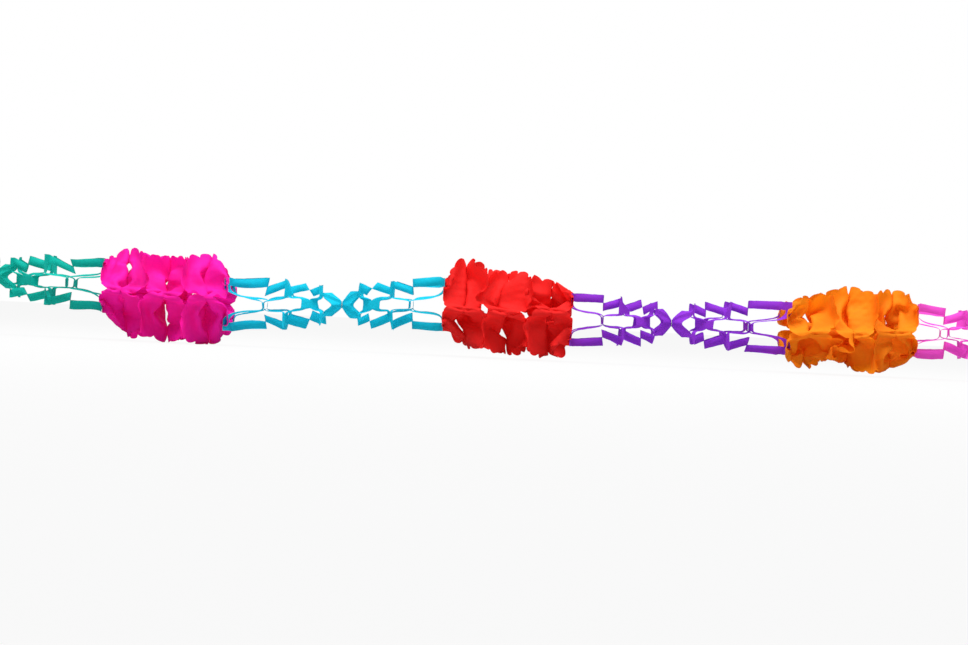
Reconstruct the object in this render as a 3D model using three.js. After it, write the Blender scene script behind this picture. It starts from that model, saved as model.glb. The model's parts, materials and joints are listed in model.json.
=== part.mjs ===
// A stretch of tissue-paper party garland, pulled open and laid on a table.
// Net sections and flower sections take turns, each in one colour.
// X runs along the garland, Z is up, and lengths are in millimetres.
import * as THREE from 'three';

// The tissue, drawn thicker than real tissue so that each sheet is a sound solid
const paperThickness = 0.4;
const glueGap = 0.3;
const planeOffset = (paperThickness + glueGap) / 2;

// Every sheet is cut from the same square
const sheetHalf = 82;

// Flower sheets: a scalloped edge and a small square hole
const scallopsPerSide = 6;
const scallopDepth = 6;
const holeHalf = 10;
const sheetsPerFlower = 6;
// From this half width outward a sheet lies on its two glue planes
const gluedHalf = 62;
// The folds take this much more paper than a straight run between the glue planes
const foldSlackRatio = 1.1;
// The middles of a sheet's sides are pinched in to this share of their own place
const sideMiddleShare = 0.93;
// The nets draw the corners of a flower's end sheets in to this share of their own place
const endCornerShare = 0.64;

// Net sheets: a centre square and rings parted by slits
const ringCount = 4;
const ringWidth = 12.8;
const glueHalf = 5;
const middleBridgeHalf = 5;
const cornerBridge = ringWidth + 1.2;
const centreCornerBridge = 5;
// Where each row of bridges lies in a pulled-out net, as shares of the net's length from its
// waist, and how far from the axis its slit line lies, as shares of half the sheet
const bridgeAlongShares = [0.17, 0.295, 0.485, 0.69, 1];
const bridgeHalfShares = [0.185, 0.274, 0.351, 0.341, 0.512];
// The middles of the centre square's sides stay close to the waist
const centreMiddleAlongShare = 0.025;
const centreFoldShare = 0.5;

// The waists and the two ends
const glueSpotRadius = 6;
const glueSpotThickness = 0.5;
const glueSpotSides = 16;
const cardSide = 64;
const cardThickness = 1.2;
const cardCornerRadius = 9;
const hangingHoleRadius = 4;
const hangingHoleInset = 10;
const cornerSteps = 4;

// How long a net and a flower are when they are pulled open, and how far the garland's middle
// line rises and falls as it lies
const netLength = 160;
const flowerLength = 200;
const waveHeight = 20;

// The sections from left to right. Each is stretched a little differently, and each end of the
// middle line has a height of its own
const startRise = waveHeight;
const sections = [
  { name: 'teal', kind: 'rightNet', lengthShare: 1.12, endRiseShare: 0.65, colour: 0x00b8a8 },
  { name: 'magenta', kind: 'flower', lengthShare: 1.01, endRiseShare: -0.35, colour: 0xe8009a },
  { name: 'cyan', kind: 'leftNet', lengthShare: 1.1, endRiseShare: 0.05, colour: 0x00b4e0 },
  { name: 'cyan', kind: 'rightNet', lengthShare: 1.01, endRiseShare: 0.43, colour: 0x00b4e0 },
  { name: 'red', kind: 'flower', lengthShare: 1.03, endRiseShare: -0.27, colour: 0xe8281c },
  { name: 'purple', kind: 'leftNet', lengthShare: 1, endRiseShare: -0.15, colour: 0x8a26cc },
  { name: 'purple', kind: 'rightNet', lengthShare: 1.11, endRiseShare: -0.145, colour: 0x8a26cc },
  { name: 'orange', kind: 'flower', lengthShare: 1.04, endRiseShare: 0.155, colour: 0xf87c08 },
  { name: 'pink', kind: 'leftNet', lengthShare: 1.03, endRiseShare: 0, colour: 0xf050cc },
];

const tissueRoughness = 0.85;
const glueColour = 0xe8e4d8;
const glueRoughness = 0.4;
const cardColour = 0xf2efe6;
const cardRoughness = 0.8;

// Points closer than this are one point of a surface
const mergeStep = 0.001;

// Smooth step from 0 to 1 with level ends, which is how folded tissue leaves its glue
function ease(t) {
  return t * t * (3 - 2 * t);
}

function mix(a, b, t) {
  return a + (b - a) * t;
}

// A surface is gathered as triangles of points, then given the paper's thickness
class Surface {
  constructor() {
    this.points = [];
    this.faces = [];
    this.index = new Map();
  }

  add(point) {
    const key = point.toArray().map((v) => Math.round(v / mergeStep)).join();
    if (!this.index.has(key)) {
      this.index.set(key, this.points.length);
      this.points.push(point);
    }
    return this.index.get(key);
  }

  triangle(a, b, c) {
    const face = [a, b, c].map((point) => this.add(point));
    if (new Set(face).size === face.length) this.faces.push(face);
  }

  quad(a, b, c, d) {
    this.triangle(a, b, c);
    this.triangle(a, c, d);
  }

  normals() {
    const sums = this.points.map(() => new THREE.Vector3());
    for (const face of this.faces) {
      const [a, b, c] = face.map((n) => this.points[n]);
      const across = new THREE.Vector3().subVectors(b, a);
      across.cross(new THREE.Vector3().subVectors(c, a)).normalize();
      for (const n of face) sums[n].add(across);
    }
    return sums.map((sum) => sum.normalize());
  }

  solid(thickness) {
    const count = this.points.length;
    const normals = this.normals();
    const place = (side) => this.points.flatMap((point, n) => point.clone()
      .addScaledVector(normals[n], side * thickness / 2).toArray());
    const edges = new Set(this.faces.flatMap(([a, b, c]) => [`${a},${b}`, `${b},${c}`, `${c},${a}`]));
    const triangles = [];
    for (const [a, b, c] of this.faces) {
      triangles.push(a, b, c, count + c, count + b, count + a);
    }
    for (const edge of edges) {
      const [a, b] = edge.split(',').map(Number);
      if (edges.has(`${b},${a}`)) continue;
      triangles.push(b, a, count + a, b, count + a, count + b);
    }
    const geometry = new THREE.BufferGeometry();
    geometry.setAttribute('position', new THREE.Float32BufferAttribute([...place(1), ...place(-1)], 3));
    geometry.setIndex(triangles);
    return geometry;
  }
}

// The four sides of a square sheet are turns of its top side about the garland's axis
function turned(point, side) {
  const quarter = Math.PI / 2;
  return point.clone().applyAxisAngle(new THREE.Vector3(1, 0, 0), side * quarter);
}

// Triangles between two closed loops, the outer one with twice as many points
function stitch(surface, inner, outer) {
  for (let n = 0; n < inner.length; n += 1) {
    const next = (n + 1) % inner.length;
    const [first, between] = [outer[2 * n], outer[2 * n + 1]];
    const last = outer[(2 * n + 2) % outer.length];
    surface.triangle(inner[n], first, between);
    surface.triangle(inner[n], between, inner[next]);
    surface.triangle(inner[next], between, last);
  }
}

// One scalloped sheet, with its corners pulled to one glue plane and the middles of its sides
// to the other. The share is 1 where the corners keep their place and less where nets draw them in
function flowerSheet(cornerX, middleX, cornerShare) {
  const travel = Math.abs(cornerX - middleX);
  const centre = (cornerX + middleX) / 2;
  const reach = Math.sign(cornerX - middleX) * (travel / 2 - planeOffset);

  function pointAt(half, along, side) {
    const corner = ease(Math.abs(along));
    const opening = Math.min(1, half / gluedHalf);
    const used = opening * travel * foldSlackRatio;
    const drawn = 1 - (1 - mix(sideMiddleShare, cornerShare, corner)) * half / sheetHalf;
    const out = Math.sqrt(half * half - used * used) * drawn;
    const x = centre + reach * opening * (2 * corner - 1);
    return turned(new THREE.Vector3(x, out * along, out), side);
  }

  function loop(stepsPerSide, halfAt) {
    const points = [];
    for (let side = 0; side < 4; side += 1) {
      for (let n = 0; n < stepsPerSide; n += 1) {
        points.push(pointAt(halfAt(n), 1 - 2 * n / stepsPerSide, side));
      }
    }
    return points;
  }

  const surface = new Surface();
  const edgeSteps = 2 * scallopsPerSide;
  // Notches lie at the corners and the middles of the sides, with the scallops between them
  const edge = loop(edgeSteps, (n) => sheetHalf - ((n + 1) % 2) * scallopDepth);
  const middle = loop(edgeSteps / 2, () => gluedHalf);
  const hole = loop(edgeSteps / 4, () => holeHalf);
  stitch(surface, middle, edge);
  stitch(surface, hole, middle);
  return surface;
}

// One net sheet pulled out. Distances are along the net from its waist to its flower
function netSheet(length) {
  const surface = new Surface();
  const rows = bridgeAlongShares.map((share, n) => ({
    along: share * length - (n === ringCount ? planeOffset : 0),
    half: bridgeHalfShares[n] * sheetHalf,
    atCorners: n % 2 === 0,
    bridge: n === 0 ? centreCornerBridge : cornerBridge,
  }));
  for (let side = 0; side < 4; side += 1) {
    for (const hand of [1, -1]) {
      const put = (x, y, z) => turned(new THREE.Vector3(x, hand * y, z), side);
      const quad = (a, b, c, d) => (hand > 0 ? surface.quad(a, b, c, d) : surface.quad(d, c, b, a));
      centreOctant(put, quad, rows[0]);
      for (let ring = 0; ring < ringCount; ring += 1) {
        ringOctant(put, quad, rows[ring], rows[ring + 1], ring);
      }
    }
  }
  return surface;

  // The centre square is glued at its middle, and its corners are pulled towards the flower
  function centreOctant(put, quad, row) {
    const base = glueSpotThickness / 2 + glueGap + paperThickness / 2;
    const middle = centreMiddleAlongShare * length + base;
    const fold = row.half - row.bridge;
    const stations = [
      [put(base, 0, glueHalf), put(middle, 0, row.half)],
      [put(base, glueHalf * centreFoldShare, glueHalf), put(row.along, fold, row.half)],
      [put(base, glueHalf, glueHalf), put(row.along, row.half, row.half)],
    ];
    for (let n = 0; n + 1 < stations.length; n += 1) {
      quad(put(base, 0, 0), stations[n][0], stations[n + 1][0], put(base, 0, 0));
      quad(stations[n][0], stations[n][1], stations[n + 1][1], stations[n + 1][0]);
    }
  }

  // Half of one side of a ring, from the middle of the side to the corner
  function ringOctant(put, quad, inner, outer, ring) {
    const middle = inner.atCorners ? outer : inner;
    const corner = inner.atCorners ? inner : outer;
    const centreOf = (row) => row.half + (row === inner ? 1 : -1) * ringWidth / 2;
    const edges = [-ringWidth / 2, ringWidth / 2];
    const fold = corner.half - corner.bridge;
    const cut = Math.min(middleBridgeHalf, fold);
    const stations = [
      [middle.along, () => 0, centreOf(middle)],
      [middle.along, () => cut, centreOf(middle)],
      [corner.along, () => fold, centreOf(corner)],
      [corner.along, (edge) => centreOf(corner) + edge, centreOf(corner)],
    ];
    const points = stations.map(([x, y, z]) => edges.map((edge) => put(x, y(edge), z + edge)));
    for (let n = 0; n + 1 < points.length; n += 1) {
      quad(points[n][0], points[n][1], points[n + 1][1], points[n + 1][0]);
    }
  }
}

function mesh(name, geometry, colour, roughness) {
  const material = new THREE.MeshStandardMaterial({ color: colour, roughness, metalness: 0 });
  const piece = new THREE.Mesh(geometry, material);
  piece.name = name;
  return piece;
}

// Puts a surface of one section in the garland: along X, and up with the waving middle line
function place(surface, start, direction, section) {
  for (const point of surface.points) {
    const along = direction * point.x;
    const share = (direction > 0 ? along : section.length + along) / section.length;
    point.x = start + along;
    point.z += mix(section.startRise, section.endRise, share);
  }
  if (direction < 0) surface.faces.forEach((face) => face.reverse());
  return surface;
}

// A stiff card tab, standing across the garland, with its hanging hole at the top
function endCard(name, x, direction, rise) {
  const half = cardSide / 2;
  const straight = half - cardCornerRadius;
  const outline = new THREE.Shape();
  for (let n = 0; n < 4; n += 1) {
    const turn = n * Math.PI / 2;
    const centre = new THREE.Vector2(straight, straight).rotateAround(new THREE.Vector2(), turn);
    outline.absarc(centre.x, centre.y, cardCornerRadius, turn, turn + Math.PI / 2, false);
  }
  const hole = new THREE.Path();
  hole.absarc(0, half - hangingHoleInset, hangingHoleRadius, 0, 2 * Math.PI, true);
  outline.holes.push(hole);
  const options = { depth: cardThickness, bevelEnabled: false, curveSegments: cornerSteps };
  const card = mesh(name, new THREE.ExtrudeGeometry(outline, options), cardColour, cardRoughness);
  card.geometry.translate(0, 0, -cardThickness / 2);
  const across = new THREE.Vector3(0, 1, 0);
  const up = new THREE.Vector3(0, 0, 1);
  const out = new THREE.Vector3(1, 0, 0);
  card.setRotationFromMatrix(new THREE.Matrix4().makeBasis(across, up, out));
  const offset = glueSpotThickness / 2 + glueGap + cardThickness / 2;
  card.position.set(x + direction * offset, 0, rise);
  return card;
}

function glueSpot(name, x, rise) {
  const geometry = new THREE.CylinderGeometry(
    glueSpotRadius, glueSpotRadius, glueSpotThickness, glueSpotSides);
  const spot = mesh(name, geometry, glueColour, glueRoughness);
  spot.rotation.z = Math.PI / 2;
  spot.position.set(x, 0, rise);
  return spot;
}

function flower(section, start) {
  const pitch = section.length / sheetsPerFlower;
  const pieces = [];
  for (let n = 0; n < sheetsPerFlower; n += 1) {
    const [left, right] = [n * pitch, (n + 1) * pitch];
    const atEnd = n === 0 || n === sheetsPerFlower - 1;
    const [cornerX, middleX] = n % 2 === 0 ? [left, right] : [right, left];
    const surface = flowerSheet(cornerX, middleX, atEnd ? endCornerShare : 1);
    const geometry = place(surface, start, 1, section).solid(paperThickness);
    pieces.push(mesh(`${section.name}_sheet_${n + 1}`, geometry, section.colour, tissueRoughness));
  }
  return pieces;
}

// A left net has its flower on its left and its waist on its right, and a right net the reverse
function net(section, start, isEnd) {
  const left = section.kind === 'leftNet';
  const waist = left ? start + section.length : start;
  const surface = place(netSheet(section.length), waist, left ? -1 : 1, section);
  const name = isEnd ? `${section.name}_net` : `${section.name}_net_${left ? 'left' : 'right'}`;
  return mesh(name, surface.solid(paperThickness), section.colour, tissueRoughness);
}

const garland = new THREE.Group();
let x = 0;
let rise = startRise;
sections.forEach((section, n) => {
  section.length = section.lengthShare * (section.kind === 'flower' ? flowerLength : netLength);
  section.startRise = rise;
  section.endRise = section.endRiseShare * waveHeight;
  if (section.kind === 'flower') {
    garland.add(...flower(section, x));
  } else {
    garland.add(net(section, x, n === 0 || n === sections.length - 1));
  }
  if (n > 0 && section.kind === 'rightNet') {
    garland.add(glueSpot(`${section.name}_glue_spot`, x, rise));
  }
  x += section.length;
  rise = section.endRise;
});
garland.add(glueSpot('left_glue_spot', 0, startRise));
garland.add(glueSpot('right_glue_spot', x, rise));
garland.add(endCard('left_end_card', 0, -1, startRise));
garland.add(endCard('right_end_card', x, 1, rise));

// The origin is under the middle of the garland, on the table that it lies on
const box = new THREE.Box3().setFromObject(garland, true);
const middle = box.getCenter(new THREE.Vector3());
garland.position.set(-middle.x, -middle.y, -box.min.z);

export default garland;
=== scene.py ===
# A stretch of tissue-paper party garland: die-cut nets and scalloped flowers take turns.
# Lengths are in metres, X runs along the garland and Z is up.
import json
import math

import bmesh
import bpy
import numpy as np
from mathutils import Matrix, Vector


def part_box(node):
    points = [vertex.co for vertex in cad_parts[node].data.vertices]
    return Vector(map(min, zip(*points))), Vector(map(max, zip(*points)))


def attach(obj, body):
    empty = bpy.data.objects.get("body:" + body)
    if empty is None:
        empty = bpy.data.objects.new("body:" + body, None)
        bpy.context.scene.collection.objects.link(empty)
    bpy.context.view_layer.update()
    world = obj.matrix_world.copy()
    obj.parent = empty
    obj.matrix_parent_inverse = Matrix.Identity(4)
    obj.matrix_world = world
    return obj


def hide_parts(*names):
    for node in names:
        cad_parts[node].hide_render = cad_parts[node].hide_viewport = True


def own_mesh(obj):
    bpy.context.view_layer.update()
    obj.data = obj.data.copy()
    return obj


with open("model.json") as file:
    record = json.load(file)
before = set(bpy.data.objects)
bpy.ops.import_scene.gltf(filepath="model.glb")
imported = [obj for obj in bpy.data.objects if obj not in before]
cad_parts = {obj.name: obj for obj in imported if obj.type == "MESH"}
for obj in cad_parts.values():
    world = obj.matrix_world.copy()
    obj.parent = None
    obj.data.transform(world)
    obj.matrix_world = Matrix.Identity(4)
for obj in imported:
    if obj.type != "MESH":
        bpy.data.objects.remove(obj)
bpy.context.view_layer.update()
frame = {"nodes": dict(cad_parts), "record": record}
record = frame["record"]

# The photograph: its size, its scale on the garland and how far the garland falls to the right
IMAGE_WIDTH = 968
METRES_PER_PIXEL = 0.0016
FALL_ANGLE = math.radians(2.77)

CAMERA_TARGET = Vector((-0.0322, 0, 0.0569))
CAMERA_DISTANCE = 3.0
CAMERA_REACH = 200
SENSOR_WIDTH = 36.0

KEY_PLACE = Vector((0, -0.7, 2.0))
KEY_SIZE = (3.0, 1.2)
KEY_POWER = 92
WORLD_LIGHT = 0.22

# The camera sees this share of plain white in place of the lit floor
FLOOR_WHITE_SHARE = 0.92
FLOOR_HALF = 60

# Colours as the eye names them: red, green and blue from 0 to 255
TISSUE_COLOURS = {
    "teal": (0, 190, 174),
    "magenta": (255, 16, 178),
    "cyan": (0, 202, 228),
    "red": (246, 34, 32),
    "purple": (150, 52, 214),
    "orange": (255, 146, 6),
    "pink": (246, 92, 220),
}
CARD_COLOUR = (242, 239, 230)
CARD_FLECK_COLOUR = (176, 160, 132)
GLUE_COLOUR = (232, 228, 216)
FLOOR_COLOUR = (196, 196, 196)
WHITE = (1, 1, 1, 1)

# The square that every sheet is cut from
SHEET_HALF = 0.082
SHEET_SIZE = 2 * SHEET_HALF
# Two sheets meet on a glue plane. This is how far from it the middle of a sheet's paper lies, and
# how far short of it the sheet's solid stops
PLANE_OFFSET = 0.00035
SOLID_EDGE = 0.00015

FLOWERS = ("magenta", "red", "orange")
SHEETS_PER_FLOWER = 6
GLUE_SPOTS = ("left", "cyan", "purple", "right")
# Each net: its node, its colour, the glue spot at its waist, the flower that its other end is glued
# to, and which end of the flower that is
NETS = (
    ("teal_net", "teal", "left", "magenta", 0),
    ("cyan_net_left", "cyan", "cyan", "magenta", 1),
    ("cyan_net_right", "cyan", "cyan", "red", 0),
    ("purple_net_left", "purple", "purple", "red", 1),
    ("purple_net_right", "purple", "purple", "orange", 0),
    ("pink_net", "pink", "right", "orange", 1),
)

# How high the garland's middle line lies above the right waist, at both ends of each section
RISES = {
    "teal_net": (0.020, 0.013),
    "magenta": (0.013, -0.007),
    "cyan_net_left": (-0.007, 0.001),
    "cyan_net_right": (0.001, 0.0086),
    "red": (0.0086, -0.0054),
    "purple_net_left": (-0.0054, -0.003),
    "purple_net_right": (-0.003, -0.0029),
    "orange": (-0.0029, 0.0031),
    "pink_net": (0.0031, 0.0),
}


def mix(a, b, t):
    """What lies between a and b, by a share from 0 to 1."""
    return a + (b - a) * t


def ease(t):
    """A step from 0 to 1 that starts and ends level."""
    t = np.clip(t, 0, 1)
    return t * t * (3 - 2 * t)


def linear(colour):
    """A colour from 0 to 255, on the sRGB curve, as the renderer counts it, with its alpha."""
    shares = [c / 255 for c in colour]
    return [s / 12.92 if s <= 0.04045 else ((s + 0.055) / 1.055) ** 2.4 for s in shares] + [1]


def darker(colour, share):
    """A colour with this share of its light."""
    return [share * c for c in colour[:3]] + [1]


def paler(colour, share):
    """A colour with this share of white mixed in."""
    return [mix(c, 1, share) for c in colour[:3]] + [1]


# Camera, light and floor


def add_camera():
    """Looks level from the front, rolled so that the garland falls as it does in the photograph."""
    camera = bpy.data.objects.new("camera", bpy.data.cameras.new("camera"))
    bpy.context.scene.collection.objects.link(camera)
    right = Vector((math.cos(FALL_ANGLE), 0, math.sin(FALL_ANGLE)))
    up = Vector((-math.sin(FALL_ANGLE), 0, math.cos(FALL_ANGLE)))
    back = Vector((0, -1, 0))
    turn = Matrix((right, up, back)).transposed()
    place = Matrix.Translation(CAMERA_TARGET + back * CAMERA_DISTANCE)
    camera.matrix_world = place @ turn.to_4x4()
    camera.data.sensor_width = SENSOR_WIDTH
    view_width = IMAGE_WIDTH * METRES_PER_PIXEL
    camera.data.lens = SENSOR_WIDTH * CAMERA_DISTANCE / view_width
    camera.data.clip_end = CAMERA_REACH
    bpy.context.scene.camera = camera


def add_key_lamp():
    """One broad lamp, above the garland and a little in front of it."""
    data = bpy.data.lights.new("key", "AREA")
    data.shape = "RECTANGLE"
    data.size, data.size_y = KEY_SIZE
    data.energy = KEY_POWER
    lamp = bpy.data.objects.new("key", data)
    lamp.location = KEY_PLACE
    lamp.rotation_euler = (CAMERA_TARGET - KEY_PLACE).to_track_quat("-Z", "Y").to_euler()
    bpy.context.scene.collection.objects.link(lamp)


class Nodes:
    """A node tree that is filled one node at a time. Inputs are given by their labels, with _ for
    a space, or as n and their number where labels repeat."""

    def __init__(self, owner):
        owner.use_nodes = True
        self.tree = owner.node_tree
        self.tree.nodes.clear()

    def add(self, kind, settings=(), **inputs):
        node = self.tree.nodes.new(kind)
        for name, value in dict(settings).items():
            setattr(node, name, value)
        for name, value in inputs.items():
            self.set(self.socket(node.inputs, name), value)
        return node

    def set(self, socket, value):
        if isinstance(value, bpy.types.NodeSocket):
            self.tree.links.new(value, socket)
        else:
            socket.default_value = value

    @staticmethod
    def socket(sockets, name):
        label = name.replace("_", " ")
        if label.startswith("n") and label[1:].isdigit():
            return sockets[int(label[1:])]
        return sockets[label]

    def calculate(self, operation, a, b):
        return self.add("ShaderNodeMath", {"operation": operation}, n0=a, n1=b).outputs[0]

    def noise(self, place, scale, detail):
        """Cloudy values from 0 to 1."""
        node = self.add("ShaderNodeTexNoise", Vector=place, Scale=scale, Detail=detail)
        return node.outputs["Fac"]

    def remap(self, value, to_min, to_max, **from_range):
        """A value carried from 0 to 1, or from a range of its own, to another range."""
        node = self.add("ShaderNodeMapRange", Value=value, To_Min=to_min, To_Max=to_max,
                        **from_range)
        return node.outputs[0]

    def blend(self, share, low, high):
        """A colour between two, by a share from 0 to 1."""
        node = self.add("ShaderNodeMix", {"data_type": "RGBA"}, n0=share, n6=low, n7=high)
        return node.outputs[2]

    def bump(self, height, strength, distance, **below):
        """The direction of a surface that a height dents."""
        node = self.add("ShaderNodeBump", Height=height, Strength=strength, Distance=distance,
                        **below)
        return node.outputs[0]

    def blend_shaders(self, share, low, high):
        """A shader between two, by a share from 0 to 1."""
        return self.add("ShaderNodeMixShader", Fac=share, n1=low.outputs[0], n2=high.outputs[0])

    def show(self, shader, kind="Material"):
        """Puts a shader on the surface, or on the world."""
        self.add(f"ShaderNodeOutput{kind}", Surface=shader.outputs[0])


def seen_by_camera(nodes):
    """1 for rays that show the background, also in gloss and through glass."""
    path = nodes.add("ShaderNodeLightPath")
    shown = nodes.calculate("MAXIMUM", path.outputs["Is Camera Ray"], path.outputs["Is Glossy Ray"])
    return nodes.calculate("MAXIMUM", shown, path.outputs["Is Transmission Ray"])


def add_world():
    """Even light from all sides, and a white background."""
    world = bpy.data.worlds.new("studio")
    bpy.context.scene.world = world
    nodes = Nodes(world)
    light = nodes.add("ShaderNodeBackground", Color=WHITE, Strength=WORLD_LIGHT)
    white = nodes.add("ShaderNodeBackground", Color=WHITE, Strength=1)
    nodes.show(nodes.blend_shaders(seen_by_camera(nodes), light, white), "World")


def add_floor():
    """A wide pale floor that shows little but the garland's shadow."""
    data = bpy.data.meshes.new("floor")
    corners = [(x * FLOOR_HALF, y * FLOOR_HALF, 0) for x, y in ((-1, -1), (1, -1), (1, 1), (-1, 1))]
    data.from_pydata(corners, [], [(0, 1, 2, 3)])
    floor = bpy.data.objects.new("floor", data)
    bpy.context.scene.collection.objects.link(floor)
    material = bpy.data.materials.new("floor_paper")
    nodes = Nodes(material)
    lit = nodes.add("ShaderNodeBsdfDiffuse", Color=linear(FLOOR_COLOUR))
    white = nodes.add("ShaderNodeEmission", Color=WHITE, Strength=1)
    share = nodes.calculate("MULTIPLY", seen_by_camera(nodes), FLOOR_WHITE_SHARE)
    nodes.show(nodes.blend_shaders(share, lit, white))
    data.materials.append(material)


# Materials. Their patterns have as many cells to a metre as their scale says

TISSUE_FIBRE_SCALES = (420, 2200, 2200)
TISSUE_FIBRES_PALE_FROM = 0.45
TISSUE_FIBRES_PALE_TO = 0.75
TISSUE_PALE_FIBRE_SHARE = 0.35
TISSUE_PALE_SHARE = 0.04
TISSUE_CLOUD_SCALE = 48.0
TISSUE_DARK_SHARE = 0.88
TISSUE_CRINKLE_SCALE = 130.0
TISSUE_ROUGHNESS = 0.78
TISSUE_ROUGHNESS_SPREAD = 0.12
TISSUE_GLOSS = 0.22
TISSUE_THROUGH_SHARE = 0.3

CARD_FIBRE_SCALE = 900.0
CARD_CLOUD_SCALE = 60.0
CARD_DARK_SHARE = 0.86
CARD_FLECK_SCALE = 420.0
CARD_FLECK_FROM = 0.02
CARD_FLECK_TO = 0.12
CARD_FLECK_SHARE = 0.7
CARD_ROUGHNESS = (0.7, 0.95)

GLUE_RIPPLE_SCALE = 500.0
GLUE_DARK_SHARE = 0.82
GLUE_ROUGHNESS = (0.25, 0.5)


def new_material(name):
    """A material, its empty node tree, and the place on the piece that its patterns follow."""
    material = bpy.data.materials.new(name)
    nodes = Nodes(material)
    return material, nodes, nodes.add("ShaderNodeTexCoord").outputs["Object"]


def tissue(name, colour):
    """Thin matte tissue: long fibres, cloudy colour, fine crinkles, light that comes through."""
    material, nodes, place = new_material(name)
    drawn_out = nodes.add("ShaderNodeMapping", Vector=place, Scale=TISSUE_FIBRE_SCALES)
    fibres = nodes.noise(drawn_out.outputs[0], scale=1.0, detail=4.0)
    clouds = nodes.noise(place, TISSUE_CLOUD_SCALE, detail=3.0)
    crinkles = nodes.noise(place, TISSUE_CRINKLE_SCALE, detail=4.0)
    light = linear(colour)
    cloudy = nodes.blend(clouds, darker(light, TISSUE_DARK_SHARE), light)
    pale_share = nodes.remap(fibres, 0, TISSUE_PALE_FIBRE_SHARE,
                             From_Min=TISSUE_FIBRES_PALE_FROM, From_Max=TISSUE_FIBRES_PALE_TO)
    shade = nodes.blend(pale_share, cloudy, paler(light, TISSUE_PALE_SHARE))
    fine = nodes.bump(fibres, strength=0.12, distance=0.0001)
    bump = nodes.bump(crinkles, strength=0.35, distance=0.0008, Normal=fine)
    rough = nodes.remap(crinkles, TISSUE_ROUGHNESS - TISSUE_ROUGHNESS_SPREAD,
                        TISSUE_ROUGHNESS + TISSUE_ROUGHNESS_SPREAD)
    face = nodes.add("ShaderNodeBsdfPrincipled", Base_Color=shade, Roughness=rough, Normal=bump,
                     Specular_IOR_Level=TISSUE_GLOSS)
    through = nodes.add("ShaderNodeBsdfTranslucent", Color=shade, Normal=bump)
    nodes.show(nodes.blend_shaders(TISSUE_THROUGH_SHARE, face, through))
    return material


def cardboard(name):
    """Grey-white card with short fibres, a few darker flecks and a soft tooth."""
    material, nodes, place = new_material(name)
    fibres = nodes.noise(place, CARD_FIBRE_SCALE, detail=5.0)
    clouds = nodes.noise(place, CARD_CLOUD_SCALE, detail=2.0)
    flecks = nodes.add("ShaderNodeTexVoronoi", Vector=place, Scale=CARD_FLECK_SCALE)
    light = linear(CARD_COLOUR)
    cloudy = nodes.blend(clouds, darker(light, CARD_DARK_SHARE), light)
    fleck_share = nodes.remap(flecks.outputs["Distance"], CARD_FLECK_SHARE, 0,
                              From_Min=CARD_FLECK_FROM, From_Max=CARD_FLECK_TO)
    shade = nodes.blend(fleck_share, cloudy, linear(CARD_FLECK_COLOUR))
    face = nodes.add("ShaderNodeBsdfPrincipled", Base_Color=shade,
                     Roughness=nodes.remap(fibres, *CARD_ROUGHNESS),
                     Normal=nodes.bump(fibres, strength=0.35, distance=0.0003))
    nodes.show(face)
    return material


def dried_glue(name):
    """A milky dab of glue with a rippled skin."""
    material, nodes, place = new_material(name)
    ripples = nodes.noise(place, GLUE_RIPPLE_SCALE, detail=3.0)
    light = linear(GLUE_COLOUR)
    face = nodes.add("ShaderNodeBsdfPrincipled",
                     Base_Color=nodes.blend(ripples, darker(light, GLUE_DARK_SHARE), light),
                     Roughness=nodes.remap(ripples, *GLUE_ROUGHNESS),
                     Normal=nodes.bump(ripples, strength=0.6, distance=0.0004))
    nodes.show(face)
    return material


# Where the sections lie


def waist(spot):
    """The middle of a glue spot, where two net sheets or a net and a card meet."""
    low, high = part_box(f"{spot}_glue_spot")
    return (low + high) / 2


AXIS_HEIGHT = waist("right").z


def flower_ends(colour):
    """The two glue planes at the ends of a flower, as places along X."""
    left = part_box(f"{colour}_sheet_1")[0].x - SOLID_EDGE
    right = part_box(f"{colour}_sheet_{SHEETS_PER_FLOWER}")[1].x + SOLID_EDGE
    return left, right


def lift(points, rises, share):
    """Raises points with the garland's middle line, by their share of the way along a section."""
    points[..., 2] += AXIS_HEIGHT + mix(rises[0], rises[1], share)


# Where a net is glued to a flower, the glued corners are folded back over the flower beyond this
# distance from the axis, in front and behind. Each end of each flower has its own share of it
FOLD_BACK_FROM = 0.029
FOLD_BACK_REACH = 0.030
NET_FOLD_ANGLE = math.radians(40)
FLOWER_FOLD_ANGLE = math.radians(72)
FOLD_BACK_SHARES = {"magenta": (0.25, 1), "red": (0.25, 0.4), "orange": (1, 0.3)}


def fold_back(y, along, angle, share=1):
    """Bends what lies beyond the fold line, in place: y inward and along onward."""
    past = np.maximum(np.abs(y) - FOLD_BACK_FROM, 0)
    along += share * past * np.sin(angle)
    y -= np.sign(y) * share * past * (1 - np.cos(angle))


# How the tissue of the flowers settles

FLOWER_SEED = 14
GRID = 33
GRID_STEP = SHEET_SIZE / (GRID - 1)
START_PITCH = 0.004
OPENING_STEPS = 200
SETTLING_STEPS = 40
ROUNDS_PER_STEP = 6
SPEED_KEPT = 0.9
FALL_PER_STEP = 1.5e-6
BENDING = 0.05
SHEAR_STIFFNESS = 0.6
LEAST_SHEET_GAP = 0.0006
# Keeps a length of nothing from being divided by
TINY_LENGTH = 1e-9
# Corner glue lies this far from a sheet's middle both ways, and side glue this far one way
CORNER_GLUE_AT = 0.066
SIDE_GLUE_AT = 0.061
GLUE_HALF = 0.006
# The nets draw the outer corners of a flower's end sheets in by this much
CORNER_DRAW = 0.040
HELD_CORNER_FROM = 0.0685
# Each sheet starts with its own bumps, and is pushed on into them while it opens
BUMP_CELLS = 4
BUMP_SIZE = 0.030
START_BUMP_SHARE = 0.3
BUMP_PUSH = 0.03
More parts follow.
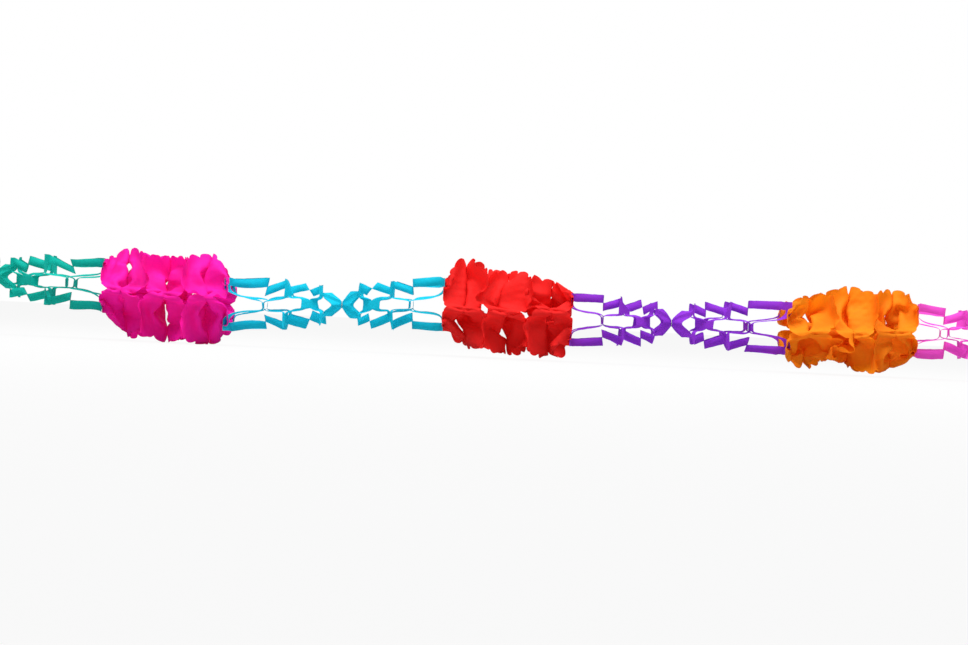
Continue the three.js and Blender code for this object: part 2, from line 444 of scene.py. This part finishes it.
# The folds draw the middle of each sheet towards the plane where its corners are glued. It stops
# short of the plane by one of these gaps, and shares its waves with the sheet beyond the plane
MIDDLE_RADIUS = 0.055
MIDDLE_PULL = 0.08
MIDDLE_GAPS = (0.022, 0.030)
MIDDLE_WAVE_CELLS = 6
MIDDLE_WAVES = 0.020
# On the front and the back, the free margins beyond the side glue curl open, away from the sheet
# that they are glued to
CURL_FROM = 0.045
CURL_TO_SIDE = 0.070
CURL_PUSH = 0.0030
CURL_SPREAD = 0.5


def grid_noise(rng, shape, cells):
    """Smooth random values over each sheet's grid."""
    coarse = rng.normal(size=shape + (cells, cells))
    t = np.linspace(0, cells - 1, GRID)
    low = np.minimum(t.astype(int), cells - 2)
    share = ease(t - low)
    rows = mix(coarse[..., low, :], coarse[..., low + 1, :], share[:, None])
    return mix(rows[..., low], rows[..., low + 1], share)


def grid_pairs():
    """Neighbours along both sides of the grid and across its cells, in sets that share no point.
    Each set has its two ends, their distance when flat and how stiffly they keep it."""
    every = slice(None)
    left, right = slice(0, GRID - 1), slice(1, GRID)
    diagonal = GRID_STEP * math.sqrt(2)
    pairs = []
    for first in (0, 1):
        low, high = slice(first, GRID - 1, 2), slice(first + 1, GRID, 2)
        for a, b, rest, stiffness in (
            ((low,), (high,), GRID_STEP, 1),
            ((every, low), (every, high), GRID_STEP, 1),
            ((low, left), (high, right), diagonal, SHEAR_STIFFNESS),
            ((low, right), (high, left), diagonal, SHEAR_STIFFNESS),
        ):
            pairs.append(((every, every) + a, (every, every) + b, rest, stiffness))
    return pairs


def hold_length(points, a, b, rest, stiffness):
    """Moves two sets of points so that they are rest apart again."""
    gap = points[b] - points[a]
    length = np.sqrt((gap * gap).sum(-1, keepdims=True)) + TINY_LENGTH
    gap *= 0.5 * stiffness * (length - rest) / length
    points[a] += gap
    points[b] -= gap


def keep_smooth(points):
    """Each point moves a little towards the middle of its neighbours, as stiff paper does."""
    for side in (2, 3):
        p = np.moveaxis(points, side, 0)
        bend = BENDING * (0.5 * (p[2:] + p[:-2]) - p[1:-1])
        p[1:-1] += bend
        p[2:] -= 0.5 * bend
        p[:-2] -= 0.5 * bend


def margin_curls(u, v, rng):
    """How far each step pushes the free margins out, at distances u and v from a sheet's middle."""
    edge = np.clip((u - CURL_FROM) / (SHEET_HALF - CURL_FROM), 0, 1)
    curl = edge * (1 - ease(v / CURL_TO_SIDE)) * CURL_PUSH
    outward = np.where(np.arange(SHEETS_PER_FLOWER) % 2, 1, -1)[:, None, None]
    spread = grid_noise(rng, (len(FLOWERS), SHEETS_PER_FLOWER), BUMP_CELLS)
    return outward * curl * (1 + CURL_SPREAD * spread)


class FlowerStacks:
    """The tissue of all flowers while it settles. Its points are one array, by flower, sheet and
    the two directions of the sheet's grid, with X, Y and Z about each flower's middle."""

    def __init__(self, rng):
        ends = np.array([flower_ends(colour) for colour in FLOWERS])
        self.lengths = ends[:, 1] - ends[:, 0]
        self.rises = np.array([RISES[colour] for colour in FLOWERS])[:, :, None, None, None]
        across = np.linspace(-SHEET_HALF, SHEET_HALF, GRID)
        u, v = np.meshgrid(across, across, indexing="ij")
        self.flat = np.zeros((len(FLOWERS), SHEETS_PER_FLOWER, GRID, GRID, 3))
        self.flat[..., 1], self.flat[..., 2] = u, v
        self.points, self.last, self.pitch = self.flat.copy(), None, None
        self.pairs = grid_pairs()
        u, v = np.abs(u), np.abs(v)
        self.middle_pull = MIDDLE_PULL * ease(1 - np.hypot(u, v) / MIDDLE_RADIUS)
        self.find_glue(u, v)
        self.draw_chances(u, v, rng)

    def find_glue(self, u, v):
        """Which points of the grid are glued, at distances u and v from a sheet's middle."""
        self.corner_glue = np.maximum(np.abs(u - CORNER_GLUE_AT),
                                      np.abs(v - CORNER_GLUE_AT)) < GLUE_HALF
        top_glue = np.maximum(u, np.abs(v - SIDE_GLUE_AT)) < GLUE_HALF
        front_glue = np.maximum(v, np.abs(u - SIDE_GLUE_AT)) < GLUE_HALF
        self.side_glue = top_glue | front_glue
        self.held = np.minimum(u, v) > HELD_CORNER_FROM

    def draw_chances(self, u, v, rng):
        """What sets each sheet apart, at distances u and v from its middle."""
        shape = (len(FLOWERS), SHEETS_PER_FLOWER)
        corner_planes = SHEETS_PER_FLOWER // 2 + 1
        self.bumps = grid_noise(rng, shape, BUMP_CELLS) * BUMP_SIZE
        self.curl = margin_curls(u, v, rng)
        self.shortfall = rng.uniform(*MIDDLE_GAPS, size=shape)
        waves = grid_noise(rng, (len(FLOWERS), corner_planes), MIDDLE_WAVE_CELLS)
        self.waves = waves * MIDDLE_WAVES

    def step(self, opened):
        """Pulls the stacks open by a share of their full length, and lets them give way."""
        last_pitch = self.pitch
        self.pitch = mix(START_PITCH, self.lengths / SHEETS_PER_FLOWER, opened)
        places = np.arange(SHEETS_PER_FLOWER + 1) - SHEETS_PER_FLOWER / 2
        planes = self.pitch[:, None] * places
        if last_pitch is None:
            self.start(planes)
        else:
            self.move(self.pitch / last_pitch, opened)
        for _ in range(ROUNDS_PER_STEP):
            self.give_way(planes, opened)

    def start(self, planes):
        """Lays each sheet halfway between its two glue planes."""
        middles = planes[:, :-1] + self.pitch[:, None] / 2
        self.points[..., 0] = middles[:, :, None, None] + self.bumps * START_BUMP_SHARE
        self.last = self.points.copy()

    def move(self, growth, opened):
        """The stacks grow longer, and every point keeps its speed, falls and takes its pushes."""
        growth = growth[:, None, None, None]
        self.points[..., 0] *= growth
        self.last[..., 0] *= growth
        speed = (self.points - self.last) * SPEED_KEPT
        self.last = self.points.copy()
        self.points += speed
        self.points[..., 2] -= FALL_PER_STEP
        self.points[..., 0] += self.bumps * BUMP_PUSH * (1 - opened) + self.curl * opened

    def give_way(self, planes, opened):
        """Every rule that the paper keeps moves the points a little."""
        for a, b, rest, stiffness in self.pairs:
            hold_length(self.points, a, b, rest, stiffness)
        keep_smooth(self.points)
        self.glue_together(planes)
        self.hold_end_corners(planes, CORNER_DRAW * opened)
        self.draw_middles(planes, self.shortfall * opened, self.waves * opened)
        self.stay_apart(planes)

    def glue_together(self, planes):
        """Sheets meet on their glue planes, by turns at the middles of their sides and at their
        corners."""
        for n in range(SHEETS_PER_FLOWER - 1):
            spots = self.side_glue if n % 2 == 0 else self.corner_glue
            one, two = self.points[:, n], self.points[:, n + 1]
            both = 0.5 * (one[:, spots] + two[:, spots])
            both[..., 0] = planes[:, n + 1, None]
            one[:, spots] = both - [PLANE_OFFSET, 0, 0]
            two[:, spots] = both + [PLANE_OFFSET, 0, 0]

    def hold_end_corners(self, planes, drawn):
        """The nets hold the outer corners of each flower's two end sheets."""
        for end, inward_side in ((0, 1), (-1, -1)):
            goal = self.flat[:, end].copy()
            goal[..., 1:] -= np.sign(goal[..., 1:]) * drawn
            inward = np.zeros(goal.shape[:-1])
            folds = np.array([FOLD_BACK_SHARES[colour][end] for colour in FLOWERS])
            angle = FLOWER_FOLD_ANGLE * drawn / CORNER_DRAW * folds[:, None, None]
            fold_back(goal[..., 1], inward, angle)
            goal[..., 0] = planes[:, end, None, None] + inward_side * (PLANE_OFFSET + inward)
            self.points[:, end][:, self.held] = goal[:, self.held]

    def draw_middles(self, planes, shortfall, waves):
        """The folds of a pulled-out sheet draw its middle to the plane of its glued corners."""
        for sheet in range(SHEETS_PER_FLOWER):
            plane, side = (sheet, 1) if sheet % 2 == 0 else (sheet + 1, -1)
            goal = planes[:, plane] + side * shortfall[:, sheet]
            x = self.points[:, sheet, :, :, 0]
            x += self.middle_pull * (goal[:, None, None] + waves[:, plane // 2] - x)

    def stay_apart(self, planes):
        """No sheet passes the next one, the end of its flower or the floor."""
        x = self.points[..., 0]
        over = np.maximum(x[:, :-1] + LEAST_SHEET_GAP - x[:, 1:], 0) * 0.5
        x[:, :-1] -= over
        x[:, 1:] += over
        x[:, 0] = np.maximum(x[:, 0], planes[:, :1, None] + PLANE_OFFSET)
        x[:, -1] = np.minimum(x[:, -1], planes[:, -1:, None] - PLANE_OFFSET)
        self.points[..., 2] = np.maximum(self.points[..., 2], self.floor(x))

    def floor(self, x):
        """The height of the floor below the garland's middle line."""
        share = x / self.lengths[:, None, None, None] + 0.5
        return -AXIS_HEIGHT - mix(self.rises[:, 0], self.rises[:, 1], share)


def settle_flowers():
    """Pulls the flat stacks of glued sheets open, and gives the points of the settled sheets."""
    stacks = FlowerStacks(np.random.default_rng(FLOWER_SEED))
    opening_steps = OPENING_STEPS
    for n in range(opening_steps + SETTLING_STEPS):
        stacks.step(min(1, (n + 1) / opening_steps))
    return stacks.points


# The cut sheets as meshes

# Nothing lies lower than this, just above the floor
LEAST_HEIGHT = 0.0002
JOIN_WITHIN = 1e-6
SHARP_FROM = math.radians(50)
WANDER_WAVES = 10


def wander(points, rng, size, wave):
    """Smooth random offsets from a few waves in random directions."""
    offsets = np.zeros_like(points)
    for _ in range(WANDER_WAVES):
        direction = rng.normal(size=3)
        direction /= np.linalg.norm(direction)
        phase = rng.uniform(0, 2 * math.pi)
        height = np.sin(points @ direction * 2 * math.pi / wave + phase)
        offsets += height[..., None] * rng.normal(size=3)
    return offsets * size * math.sqrt(2 / WANDER_WAVES)


def new_piece(name, points, faces, material):
    """A smooth mesh in the scene, with the points that coincide joined."""
    points[:, 2] = np.maximum(points[:, 2], LEAST_HEIGHT)
    data = bpy.data.meshes.new(name)
    data.from_pydata(points.tolist(), [], faces)
    joined = bmesh.new()
    joined.from_mesh(data)
    bmesh.ops.remove_doubles(joined, verts=joined.verts, dist=JOIN_WITHIN)
    joined.to_mesh(data)
    joined.free()
    data.polygons.foreach_set("use_smooth", [True] * len(data.polygons))
    data.set_sharp_from_angle(angle=SHARP_FROM)
    data.materials.append(material)
    piece = bpy.data.objects.new(name, data)
    bpy.context.scene.collection.objects.link(piece)
    return piece


def grid_faces(rows, columns, start=0, closed=False):
    """Four-sided faces of a grid of points, row after row."""
    faces = []
    for r in range(rows - 1):
        for c in range(columns if closed else columns - 1):
            a, b = start + r * columns + c, start + r * columns + (c + 1) % columns
            faces.append((a, b, b + columns, a + columns))
    return faces


SCALLOPS_PER_SIDE = 6
SCALLOP_STEPS = 8
SCALLOP_DEPTH = 0.006
SCALLOP_ROUNDNESS = 0.6
HOLE_HALF = 0.010
SHEET_RINGS = 24
CRUMPLE_SIZE = 0.00022
CRUMPLE_WAVE = 0.011


def curve_weights(t):
    """The four grid points about each place, and their weights on a Catmull-Rom curve."""
    low = np.clip(np.floor(t).astype(int), 0, GRID - 2)
    f = t - low
    weights = np.stack([-0.5 * f + f ** 2 - 0.5 * f ** 3, 1 - 2.5 * f ** 2 + 1.5 * f ** 3,
                        0.5 * f + 2 * f ** 2 - 1.5 * f ** 3, -0.5 * f ** 2 + 0.5 * f ** 3], -1)
    index = np.clip(low[..., None] + np.arange(-1, 3), 0, GRID - 1)
    return index, weights


def on_sheet(grid, u, v):
    """Where the points u, v of the flat square lie on the settled sheet."""
    iu, wu = curve_weights((u + SHEET_HALF) / GRID_STEP)
    iv, wv = curve_weights((v + SHEET_HALF) / GRID_STEP)
    places = np.zeros(u.shape + (3,))
    for a in range(4):
        for b in range(4):
            places += (wu[..., a] * wv[..., b])[..., None] * grid[iu[..., a], iv[..., b]]
    return places


def flower_outline():
    """Points round a square of half size 1, and the half size that the scallops give each."""
    per_side = SCALLOPS_PER_SIDE * SCALLOP_STEPS
    u, v, hump = [], [], []
    for nu, nv in ((1, 0), (0, 1), (-1, 0), (0, -1)):
        for n in range(per_side):
            along = -1 + 2 * n / per_side
            u.append(nu - nv * along)
            v.append(nv + nu * along)
            wave = abs(math.sin(math.pi * n / SCALLOP_STEPS))
            hump.append(wave ** SCALLOP_ROUNDNESS)
    half = SHEET_HALF - SCALLOP_DEPTH * (1 - np.array(hump))
    return np.array(u), np.array(v), half


def flower_sheet(name, grid, material, rng):
    """A settled sheet, cut out with its scallops and its hole."""
    u, v, edge = flower_outline()
    out = np.linspace(0, 1, SHEET_RINGS)[:, None]
    half = mix(HOLE_HALF, edge, out)
    points = on_sheet(grid, u * half, v * half)
    points += wander(points, rng, CRUMPLE_SIZE, CRUMPLE_WAVE)
    faces = grid_faces(SHEET_RINGS, len(u), closed=True)
    return new_piece(name, points.reshape(-1, 3), faces, material)


def flower_sheet_area():
    """The flat area of one scalloped sheet without its hole."""
    u, v, edge = flower_outline()
    x, y = u * edge, v * edge
    area = 0.5 * abs(np.sum(x * np.roll(y, -1) - y * np.roll(x, -1)))
    return float(area - (2 * HOLE_HALF) ** 2)


# A net sheet is a centre square and rings. Bridges join them, by turns at the corners and at the
# middles of the sides
SIDES = 4
RING_COUNT = 4
RING_WIDTH = 0.0128
MIDDLE_BRIDGE_HALF = 0.005
CORNER_BRIDGE = RING_WIDTH + 0.0012
CENTRE_CORNER_BRIDGE = 0.005
# Where each row of bridges lies on a net that is pulled out, as a share of the net's length from
# its waist, and how far from the axis, as a share of half a sheet
BRIDGE_ALONG_SHARES = (0.17, 0.295, 0.485, 0.69, 1)
BRIDGE_HALF_SHARES = (0.250, 0.300, 0.328, 0.341, 0.512)
# Each row of bridges leans towards the flower, least of all on the top and the bottom
LEANS = [math.radians(angle) for angle in (12, 68, 16, 4, 0)]
LEAN_SPREAD = math.radians(9)
TOP_LEAN_SHARE = 0.25
# The centre square is glued down over a patch of this half size, this far from the waist
GLUE_SPOT_HALF = 0.005
CENTRE_BASE = 0.00075
# How far along the net the middles of its sides are pulled, and how its paper curves out to them
CENTRE_MIDDLE_ALONG_SHARE = 0.085
CENTRE_CURVE = 1.3
CENTRE_STEPS = 8
GLUED_MIDDLE_STEPS = 2
STRAP_STEPS = 14
STRAP_WIDTH_STEPS = 4
BRIDGE_STEPS = 3
# How far a strap runs on flat at each end before it turns along the garland, as a share of its way
# across. Straps keep nearer to the middle bridges, some more than others
MIDDLE_HANDLE_SHARES = (0.15, 0.6)
CORNER_HANDLE_SHARE = 1.0
LEAST_STRAP_HANDLE = 0.006
STRAP_CUPS = (0.0012, 0.0034)
# The pulled-out paper wanders, but not where it is glued at its two ends
NET_WANDER = 0.0014
NET_WANDER_WAVE = 0.07
NET_CRUMPLE_SIZE = 0.0001
NET_FREE_START = 0.010
NET_GLUED_END = 0.008


def bezier(a, b, c, d, t):
    """A curve from a to d that b and c draw to them."""
    s = 1 - t
    return s ** 3 * a + 3 * s * s * t * b + 3 * s * t * t * c + t ** 3 * d


def turned(points, side):
    """Points of the top side carried to another side, by quarter turns about X."""
    for _ in range(side):
        x, y, z = np.moveaxis(points, -1, 0)
        points = np.stack([x, -z, y], -1)
    return points


class Row:
    """One row of bridges between two rings, all at one place along the net."""

    def __init__(self, n, length, rng):
        glued = n == RING_COUNT
        self.along = BRIDGE_ALONG_SHARES[n] * length - (PLANE_OFFSET if glued else 0)
        self.half = BRIDGE_HALF_SHARES[n] * SHEET_HALF
        self.at_corners = n % 2 == 0
        self.bridge = CENTRE_CORNER_BRIDGE if n == 0 else CORNER_BRIDGE
        share = np.ones(SIDES) if self.at_corners else np.array([TOP_LEAN_SHARE, 1] * 2)
        spread = 0 if glued else LEAN_SPREAD
        self.lean = LEANS[n] * share + spread * rng.normal(size=SIDES)


def over_bridges(before, between, after):
    """Values along a strap: over half the middle bridge, between, and over the corner bridge."""
    return np.concatenate([np.full(BRIDGE_STEPS, before), between, np.full(BRIDGE_STEPS, after)])


def strap_line(middle, corner, middle_handle_share):
    """Where the middle line of half a strap lies, along the net and across it."""
    fold = corner.half - corner.bridge
    cut = min(MIDDLE_BRIDGE_HALF, fold)
    from_middle = max(middle_handle_share * (fold - cut), LEAST_STRAP_HANDLE)
    to_corner = max(CORNER_HANDLE_SHARE * (fold - cut), LEAST_STRAP_HANDLE)
    t = np.linspace(0, 1, STRAP_STEPS + 1)
    along = bezier(middle.along, middle.along, corner.along, corner.along, t)
    across = bezier(cut, cut + from_middle, fold - to_corner, fold, t)
    on_bridge = np.linspace(0, 1, BRIDGE_STEPS + 1)[:-1] * cut
    return over_bridges(middle.along, along, corner.along), over_bridges(on_bridge, across, fold)


def strap(inner, outer, middle_site, corner_site, cup, middle_handle_share):
    """Half of one side of a ring, from the middle of the side to the corner."""
    middle, corner = (outer, inner) if inner.at_corners else (inner, outer)
    along, across = strap_line(middle, corner, middle_handle_share)
    t = np.linspace(0, 1, STRAP_STEPS + 1)
    way = over_bridges(0, ease(t), 1)
    free = over_bridges(0, np.sin(math.pi * t), 0)
    past = over_bridges(0, 0 * t, np.linspace(0, 1, BRIDGE_STEPS + 1)[1:])
    offset = {inner: RING_WIDTH / 2, outer: -RING_WIDTH / 2}
    edges = np.linspace(-0.5, 0.5, STRAP_WIDTH_STEPS + 1) * RING_WIDTH
    height = mix(middle.half + offset[middle], corner.half + offset[corner], way)
    slit = mix(middle.half, corner.half, way)
    lean = mix(middle.lean[middle_site], corner.lean[corner_site], way ** 2)[:, None]
    beyond = (height - slit)[:, None] + edges
    x = along[:, None] + beyond * np.sin(lean)
    z = slit[:, None] + beyond * np.cos(lean)
    y = mix(across[:, None], z, past[:, None])
    y = y + cup * free[:, None] * (1 - (2 * edges / RING_WIDTH) ** 2)
    return np.stack([x, y, z], -1)


def centre_square(length, row):
    """An eighth of the centre square, glued at its middle and pulled out at its corners."""
    fold = row.half - row.bridge
    middle = CENTRE_MIDDLE_ALONG_SHARE * length + CENTRE_BASE
    s = np.linspace(0, 1, 2 * CENTRE_STEPS + 1)
    bend = np.minimum(1, 2 * s)
    outer_x = mix(middle, row.along, bezier(0, 0, 1, 1, bend))
    outer_y = np.where(s < 0.5, 2 * s * fold, mix(fold, row.half, 2 * s - 1))
    out = np.linspace(0, 1, CENTRE_STEPS + 1)[:, None]
    x = mix(CENTRE_BASE, outer_x, out ** CENTRE_CURVE)
    y = mix(GLUE_SPOT_HALF * s, outer_y, out)
    z = np.broadcast_to(mix(GLUE_SPOT_HALF, row.half, out), y.shape)
    return np.stack([x, y, z], -1)


def glued_middle():
    """An eighth of the patch that lies on the glue spot."""
    s = np.linspace(0, 1, 2 * CENTRE_STEPS + 1)
    out = np.linspace(0, 1, GLUED_MIDDLE_STEPS + 1)[:, None]
    y = GLUE_SPOT_HALF * s * out
    z = np.broadcast_to(GLUE_SPOT_HALF * out, y.shape)
    return np.stack([np.full(y.shape, CENTRE_BASE), y, z], -1)


def net_patches(length, rng):
    """The grids that make up a net sheet, an eighth of the sheet after another."""
    rows = [Row(n, length, rng) for n in range(RING_COUNT + 1)]
    patches = []
    for side in range(SIDES):
        for hand, corner_site in ((1, side), (-1, (side + 1) % SIDES)):
            eighth = [glued_middle(), centre_square(length, rows[0])]
            for inner, outer in zip(rows, rows[1:]):
                cup, handle_share = rng.uniform(*STRAP_CUPS), rng.uniform(*MIDDLE_HANDLE_SHARES)
                eighth.append(strap(inner, outer, side, corner_site, cup, handle_share))
            for patch in eighth:
                patch[..., 1] *= hand
                patches.append(turned(patch, side))
    return patches


def net_sheet(name, length, lay, fold_share, material, rng):
    """One die-cut sheet pulled out. The function lay carries points from the net to the garland."""
    patches = net_patches(length, rng)
    faces, count = [], 0
    for patch in patches:
        faces += grid_faces(patch.shape[0], patch.shape[1], count)
        count += patch.shape[0] * patch.shape[1]
    points = np.concatenate([patch.reshape(-1, 3) for patch in patches])
    free = ease(points[:, 0] / NET_FREE_START) * ease((length - points[:, 0]) / NET_GLUED_END)
    points += free[:, None] * wander(points, rng, NET_WANDER, NET_WANDER_WAVE)
    points += free[:, None] * wander(points, rng, NET_CRUMPLE_SIZE, CRUMPLE_WAVE)
    near_flower = ease(1 - (length - points[:, 0]) / FOLD_BACK_REACH)
    fold_back(points[:, 1], points[:, 0], NET_FOLD_ANGLE * fold_share, near_flower)
    return new_piece(name, lay(points), faces, material)


# Joining the pieces to the frame


def body_with(node):
    """The body that a node belongs to."""
    for body, nodes in record["behaviour"]["bodies"].items():
        if node in nodes:
            return body
    raise ValueError(f"no body holds {node}")


def stand_for(piece, node):
    """The piece takes the node's place, rides on its body and folds with its joint."""
    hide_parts(node)
    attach(piece, body_with(node))
    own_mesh(piece)


def add_flowers(materials):
    """Each flower's six sheets, cut from the settled tissue."""
    settled = settle_flowers()
    area = flower_sheet_area()
    for n, colour in enumerate(FLOWERS):
        left, right = flower_ends(colour)
        rng = np.random.default_rng(n)
        for sheet in range(SHEETS_PER_FLOWER):
            grid = settled[n, sheet].copy()
            lift(grid, RISES[colour], grid[..., 0] / (right - left) + 0.5)
            grid[..., 0] += (left + right) / 2
            node = f"{colour}_sheet_{sheet + 1}"
            piece = flower_sheet(f"{node}_tissue", grid, materials[colour], rng)
            stand_for(piece, node)


def add_net(node, spot, flower, end, material, seed):
    """A net between a waist and one end of a flower."""
    waist_x, flower_x = waist(spot).x, flower_ends(flower)[end]
    length = abs(flower_x - waist_x)
    hand = 1 if flower_x > waist_x else -1
    rises = RISES[node][::hand]

    def lay(points):
        lift(points, rises, points[:, 0] / length)
        points[:, 0] = waist_x + hand * points[:, 0]
        return points

    fold_share = FOLD_BACK_SHARES[flower][end]
    rng = np.random.default_rng(seed)
    piece = net_sheet(f"{node}_tissue", length, lay, fold_share, material, rng)
    stand_for(piece, node)


def add_nets(materials):
    for seed, (node, colour, spot, flower, end) in enumerate(NETS):
        add_net(node, spot, flower, end, materials[colour], seed)


def finish_node(node, material):
    """A CAD node whose shape is right keeps it and takes a better finish."""
    solid = frame["nodes"][node]
    solid.data.materials.clear()
    solid.data.materials.append(material)


def add_cards_and_glue():
    card, glue = cardboard("card"), dried_glue("glue")
    for end in ("left", "right"):
        finish_node(f"{end}_end_card", card)
    for spot in GLUE_SPOTS:
        finish_node(f"{spot}_glue_spot", glue)


def build():
    add_camera()
    add_world()
    add_floor()
    add_key_lamp()
    bpy.context.scene.view_settings.view_transform = "Standard"
    materials = {name: tissue(f"{name}_tissue", colour) for name, colour in TISSUE_COLOURS.items()}
    add_nets(materials)
    add_flowers(materials)
    add_cards_and_glue()


build()
